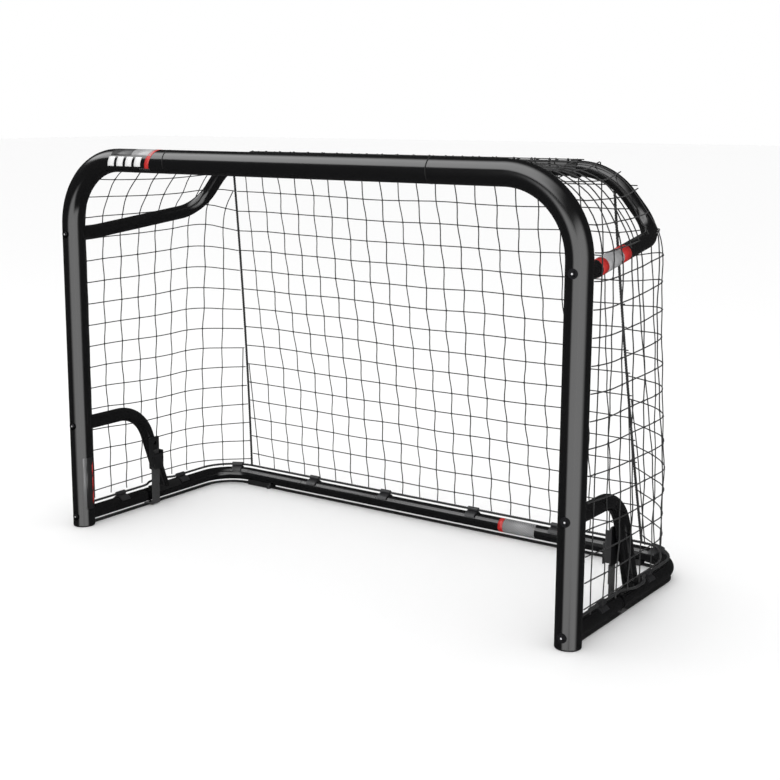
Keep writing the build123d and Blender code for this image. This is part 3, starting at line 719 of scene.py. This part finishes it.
for column, v in enumerate(bandColumns):
    run = [bandKnot(0, v)] if v < bandReach(0) else []
    for row, u in enumerate(bandRows):
        if (row, column) in grid:
            if not run and row > 0:
                run.append(bandKnot(meetRope(v, u, bandRows[row - 1]), v))
            run.append(grid[row, column])
        elif run:
            run.append(bandKnot(meetRope(v, bandRows[row - 1], u), v))
            bandLines.append(run)
            run = []
    if run:
        if v < bandReach(0):
            run.append(bandKnot(2 * bandHalf, v))
        bandLines.append(run)
bandLines = [line for line in bandLines if len(line) > 1]


def rearPoint(x, z):
    share = (z - footZ) / (roofZ - footZ)
    return Vector((x, rearFootY + (rearTopY - rearFootY) * share, z))


rearShape = {"firstRow": 28 * mm, "columnShift": -2.5 * mm, "belly": 10 * mm}
rearRowTotal = round((roofZ - footZ - rearShape["firstRow"]) / netCut["cell"])
rearRows = [
    footZ + rearShape["firstRow"] + (roofZ - footZ - rearShape["firstRow"]) * row / rearRowTotal
    for row in range(rearRowTotal + 1)
]


def rearEdge(z):
    # half width of the rear net: the rope, and above it the round corner
    if z <= shape["ropeTop"]:
        return ropeAt(z)[0]
    lift = min(rearRadius, z - shape["rearTurnZ"])
    return shape["rearTurnX"] + (rearRadius**2 - lift**2) ** 0.5


def rearKnot(x, z, odd=0):
    place = rearPoint(x, z)
    edge = rearEdge(z)
    hold = holdOff(min(edge - abs(x), roofZ - z, z - footZ + 0.4 * netCut["calm"]))
    place += wander(place, 8.7) * hold
    place.x += odd * netCut["zigzag"] * hold
    middle = (z - footZ) / (roofZ - footZ)
    place.y += rearShape["belly"] * 4 * middle * (1 - middle) * hold
    place.z -= 0.4 * netCut["sag"] * (1 - (x / edge) ** 2) * holdOff(roofZ - z) * hold
    return place


rearLines, rearKnots = [], []
columnHalf = int(ropeAt(footZ)[0] / netCut["cell"]) + 1
columnPlaces = [(k + 0.5) * netCut["cell"] + rearShape["columnShift"] for k in range(-columnHalf, columnHalf)]
for row, z in enumerate(rearRows):
    edge = rearEdge(z)
    line = [rearKnot(-edge, z)]
    for column, x in enumerate(columnPlaces):
        if abs(x) < edge - netCut["leastStub"]:
            knot = rearKnot(x, z, 1 if (row + column) % 2 else -1)
            line.append(knot)
            rearKnots.append(knot)
    line.append(rearKnot(edge, z))
    rearLines.append(line)
for column, x in enumerate(columnPlaces):
    run = [rearKnot(x, footZ)] if abs(x) < rearEdge(footZ) else []
    for row, z in enumerate(rearRows):
        if abs(x) < rearEdge(z) - netCut["leastStub"]:
            run.append(rearKnot(x, z, 1 if (row + column) % 2 else -1))
        elif run:
            low, high = rearRows[row - 1] if row else footZ, z
            for _ in range(netCut["halvings"]):
                middle = (low + high) / 2
                low, high = (middle, high) if rearEdge(middle) > abs(x) else (low, middle)
            run.append(rearKnot(x, low))
            break
    if len(run) > 1:
        rearLines.append(run)


def knotMesh(name, places, seed):
    # each knot is a short turn of twine wrapped aslant round the crossing
    wrap = {"ring": 1.5 * mm, "twine": 0.95 * mm, "around": 7, "section": 4, "tilt": (35, 75)}
    one = bmesh.new()
    ring = bmesh.ops.create_circle(
        one,
        segments=wrap["section"],
        radius=wrap["twine"],
        matrix=Matrix.Translation((wrap["ring"], 0, 0)) @ Matrix.Rotation(pi / 2, 4, "X"),
    )
    bmesh.ops.spin(
        one,
        geom=ring["verts"] + list({e for v in ring["verts"] for e in v.link_edges}),
        cent=(0, 0, 0),
        axis=(0, 0, 1),
        angle=2 * pi,
        steps=wrap["around"],
        use_merge=True,
    )
    bmesh.ops.remove_doubles(one, verts=one.verts, dist=0.01 * mm)
    bmesh.ops.recalc_face_normals(one, faces=one.faces)
    template = meshFrom(one, "knot")
    rng = Random(seed)
    whole = bmesh.new()
    for place in places:
        before = len(whole.verts)
        whole.from_mesh(template)
        whole.verts.ensure_lookup_table()
        added = whole.verts[before:]
        spun = Matrix.Rotation(rng.uniform(0, 2 * pi), 4, "Z")
        tipped = Matrix.Rotation(radians(rng.uniform(*wrap["tilt"])), 4, "X")
        bmesh.ops.transform(whole, matrix=Matrix.Translation(place) @ spun @ tipped, verts=added)
    bpy.data.meshes.remove(template)
    return meshFrom(whole, name)


twine = materials["net_twine"]
sideNodes = ("net_left", "net_right", "net_top", "net_corner_left", "net_corner_right")
bandMesh = curveMesh("netBand", bandLines, netCut["twine"])
addPiece("netBand", bandMesh, twine, replaced=sideNodes)
rearMesh = curveMesh("netRear", rearLines, netCut["twine"])
addPiece("netRear", rearMesh, twine, replaced=("net_rear",))
addPiece("netBandKnots", knotMesh("netBandKnots", knots, 5), twine)
addPiece("netRearKnots", knotMesh("netRearKnots", rearKnots, 6), twine)
print("net made:", len(bandLines) + len(rearLines), "strands,", len(knots) + len(rearKnots), "knots")


# ropes: three twisted strands each

def twistedRope(name, points, radius, pitch, strands=3):
    # strands lie 0.48 of the rope's radius off its middle and are 0.6 of it thick, so they bed together
    lines = [helixAround(points, radius * 0.48, pitch, 2 * pi * s / strands, 9) for s in range(strands)]
    return curveMesh(name, lines, radius * 0.6, resolution=2, sidesStep=2)


cornerRope = {"bow": {"left": 5 * mm, "right": 4 * mm}, "steps": 24, "behind": 1 * mm, "pitch": 16 * mm}
for sideName, side in sides:
    bow = cornerRope["bow"][sideName]  # the rope is drawn in slightly by the net
    points = []
    for i in range(cornerRope["steps"] + 1):
        share = i / cornerRope["steps"]
        z = footZ + (shape["ropeTop"] - footZ) * share
        x, y = ropeAt(z)
        points.append(Vector((side * (x - bow * 4 * share * (1 - share)), y + cornerRope["behind"], z)))
    addPiece(
        f"cornerRope_{sideName}",
        twistedRope(f"cornerRope_{sideName}", points, cordRadius, cornerRope["pitch"]),
        materials["border_rope"],
        replaced=(f"corner_rope_{sideName}",),
    )

lacing = {
    "pitch": 38 * mm,
    "twine": 1.3 * mm,
    "clear": 1.6 * mm,
    "whipping": 7,  # turns at each end
    "whippingWidth": 15 * mm,
}
barZRear = (rearBarLow.z + rearBarHigh.z) / 2
barEnd = shape["rearTurnX"]
lacingRadius = tubeRadius + lacing["twine"] + lacing["clear"]
barLine = [Vector((-barEnd, rearBarY, barZRear)), Vector((barEnd, rearBarY, barZRear))]
whippings = []
for side in (-1, 1):
    near = side * (barEnd - lacing["whippingWidth"])
    whipLine = [Vector((near, rearBarY, barZRear)), Vector((side * barEnd, rearBarY, barZRear))]
    turnPitch = lacing["whippingWidth"] / lacing["whipping"]
    whippings.append(helixAround(whipLine, tubeRadius + 1.3 * lacing["twine"], turnPitch, 0, 16))
lacingLines = [helixAround(barLine, lacingRadius, lacing["pitch"], 0, 12)] + whippings
lacingMesh = curveMesh("rearBarLacing", lacingLines, lacing["twine"])
addPiece("rearBarLacing", lacingMesh, twine)

borderRoute = {
    "outside": 4.0 * mm,  # of the ground tube's centre line
    "cornerRadius": 84.0 * mm,
    "swerveX": 596.0 * mm,
    "swerveMiddle": 11.6 * mm,
    "swerveFlat": 20.0 * mm,
    "swerveReach": 44.0 * mm,
    "swerveRadius": 36.0 * mm,
    "pitch": 14.0 * mm,
}
cordX = postX + borderRoute["outside"]
cordY = groundY + borderRoute["outside"]
halfRoute = [
    (cordX, cordLow.y),
    (cordX, borderRoute["swerveMiddle"] - borderRoute["swerveReach"]),
    (borderRoute["swerveX"], borderRoute["swerveMiddle"] - borderRoute["swerveFlat"]),
    (borderRoute["swerveX"], borderRoute["swerveMiddle"] + borderRoute["swerveFlat"]),
    (cordX, borderRoute["swerveMiddle"] + borderRoute["swerveReach"]),
    (cordX, cordY),
]
route = [(x, y, cordZ) for x, y in halfRoute] + [(-x, y, cordZ) for x, y in reversed(halfRoute)]
swerves = 4 * [borderRoute["swerveRadius"]]
bends = swerves + 2 * [borderRoute["cornerRadius"]] + swerves
addPiece(
    "borderRope",
    twistedRope("borderRope", roundCorners(route, bends), cordRadius, borderRoute["pitch"]),
    materials["border_rope"],
    replaced=("border_cord",),
)
print("ropes and lacing made")


# labels: thin printed films wrapped on the tubes, and near-black film rings of painted shade at the
# crossbar's joints

film = {"lift": 0.1 * mm, "thickness": 0.1 * mm, "facet": 8}  # facet in degrees


def wrapLabel(name, start, end, radius, upward, toward, fromAngle, toAngle, colorName, skew=0.0):
    # a film on the tube from start to end; angles in degrees from upward round to toward
    start, end, upward, toward = Vector(start), Vector(end), Vector(upward), Vector(toward)
    direction = (end - start).normalized()
    length = (end - start).length
    bm = bmesh.new()
    facets = max(2, int((toAngle - fromAngle) / film["facet"]))
    bmesh.ops.create_grid(bm, x_segments=2, y_segments=facets, size=1)
    for vert in bm.verts:
        along, around = (vert.co.x + 1) / 2, (vert.co.y + 1) / 2
        angle = radians(fromAngle + (toAngle - fromAngle) * around)
        outward = upward * cos(angle) + toward * sin(angle)
        place = start + direction * (length * along + skew * (around - 0.5))
        vert.co = place + outward * (radius + film["lift"])
    bmesh.ops.recalc_face_normals(bm, faces=bm.faces)
    bmesh.ops.solidify(bm, geom=bm.faces, thickness=film["thickness"])
    addPiece(name, meshFrom(bm, name), labelMaterials[colorName])


def crossbarLabel(name, fromX, toX, fromAngle, toAngle, colorName, skew=0.0):
    ends = [(x * mm, postY, barZ) for x in (fromX, toX)]
    up, front = (0, 0, 1), (0, -1, 0)
    wrapLabel(name, ends[0], ends[1], postRadius, up, front, fromAngle, toAngle, colorName, skew * mm)


barLabels = {
    # name: from and to along X in mm, from and to round the tube in degrees, film, slant in mm
    "barPanelDark": (-440, -384, -20, 62, "dark", 0),
    "barPanelGrey": (-384, -330, -20, 60, "light", -4),
    "barStripe": (-340, -329, -20, 126, "red", -22),
}
for name, values in barLabels.items():
    crossbarLabel(name, *values)
barMark = {"first": -446, "pitch": 24, "width": 17, "round": (68, 116), "slant": -7, "count": 4}
for index in range(barMark["count"]):
    fromX = barMark["first"] + index * barMark["pitch"]
    toX = fromX + barMark["width"]
    crossbarLabel(f"barMark_{index}", fromX, toX, *barMark["round"], "white", barMark["slant"])
barHatch = {"first": -366, "pitch": 5, "width": 3, "round": (124, 138), "count": 6}
for index in range(barHatch["count"]):
    fromX = barHatch["first"] + index * barHatch["pitch"]
    crossbarLabel(f"barHatch_{index}", fromX, fromX + barHatch["width"], *barHatch["round"], "dark")

# the bend of the right arm is this much inward of, behind and above its end at the post
armFoot = Vector((postX, -170 * mm, 624.5 * mm))
armBend = armFoot + Vector((-27 * mm, 296 * mm, 33 * mm))


def armLabel(name, fromY, toY, fromAngle, toAngle, colorName, skew=0.0):
    run = armBend - armFoot
    ends = [armFoot + run * ((y * mm - armFoot.y) / run.y) for y in (fromY, toY)]
    upward = (Vector((0, 0, 1)) - run.normalized() * run.normalized().z).normalized()
    toward = run.normalized().cross(upward)
    wrapLabel(name, ends[0], ends[1], tubeRadius, upward, toward, fromAngle, toAngle, colorName, skew * mm)


armLabels = {
    # name: from and to along Y in mm, from and to round the tube in degrees, film, slant in mm
    "armStripeFront": (-172, -146, -180, 180, "red", 0),
    "armPanel": (-146, -76, -180, 180, "light", 0),
    "armStripeRear": (-76, -42, -180, 180, "red", 0),
    "armSwirl": (-104, -90, -100, 20, "red", 34),
}
for name, values in armLabels.items():
    armLabel(name, *values)


def postLabel(name, fromZ, toZ, fromAngle, toAngle, colorName, lift=0.0, skew=0.0):
    ends = [(-postX, postY, z * mm) for z in (fromZ, toZ)]
    front, inward = (0, -1, 0), (1, 0, 0)
    radius = postRadius + lift * mm
    wrapLabel(name, ends[0], ends[1], radius, front, inward, fromAngle, toAngle, colorName, skew * mm)


postLabels = {
    # name: from and to along Z in mm, from and to round the post in degrees, film, lift and slant in mm
    "postStrip": (39, 151, 50, 66, "mid", 0, 0),
    "postPanel": (39, 151, 66, 150, "smoke", 0, 0),
    "postDash_0": (52, 74, 106, 118, "red", 0.2, 8),
    "postDash_1": (82, 108, 106, 118, "red", 0.2, 8),
    "postDash_2": (114, 136, 106, 118, "red", 0.2, 8),
}
for name, values in postLabels.items():
    postLabel(name, *values)


def groundLabel(name, fromX, toX, colorName):
    ends = [(x * mm, groundY, groundZ) for x in (fromX, toX)]
    wrapLabel(name, ends[0], ends[1], tubeRadius, (0, 0, 1), (0, -1, 0), -50, 200, colorName)


groundLabel("groundStripe", 183, 194, "red")
groundLabel("groundPanel", 194, 268, "hatch")

seam = {"place": 300, "width": 2.4}  # near-black film rings paint the shade in the gap where the crossbar's tubes meet
for sideName, side in sides:
    middle = side * seam["place"]
    fromX, toX = middle - seam["width"] / 2, middle + seam["width"] / 2
    crossbarLabel(f"barSeamShade_{sideName}", fromX, toX, -180, 180, "jointShade")
print("labels made")


# painted glint: a near-white hexagon at the bottom of each bolt's socket stands in for the socket's highlight

socketGlint = {
    "heights": (22.5, 220.5, 624.5),
    "radius": 1.9 * mm,
    "depth": 0.5 * mm,
    "thickness": 0.15 * mm,
    "metallic": 0.4,  # only partly metallic, so the near-white colour shows as a painted glint under any light
}
# painted glint: near-white steel for the highlight in each socket
glintSteel = drawnSteel("painted socket glint", "#f0f0f2", 0.3)
glintSteel.node_tree.nodes["Principled BSDF"].inputs["Metallic"].default_value = socketGlint["metallic"]
tips = bmesh.new()
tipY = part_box("frame_bolts_right")[0].y + socketGlint["depth"]
for side in (-1, 1):
    for height in socketGlint["heights"]:
        spot = Matrix.Translation((side * postX, tipY, height * mm)) @ Matrix.Rotation(pi / 2, 4, "X")
        bmesh.ops.create_cone(
            tips,
            cap_ends=True,
            segments=6,
            radius1=socketGlint["radius"],
            radius2=socketGlint["radius"],
            depth=socketGlint["thickness"],
            matrix=spot,
        )
addPiece("socketGlints", meshFrom(tips, "socketGlints", smooth=False), glintSteel)
print("bolt tips made")
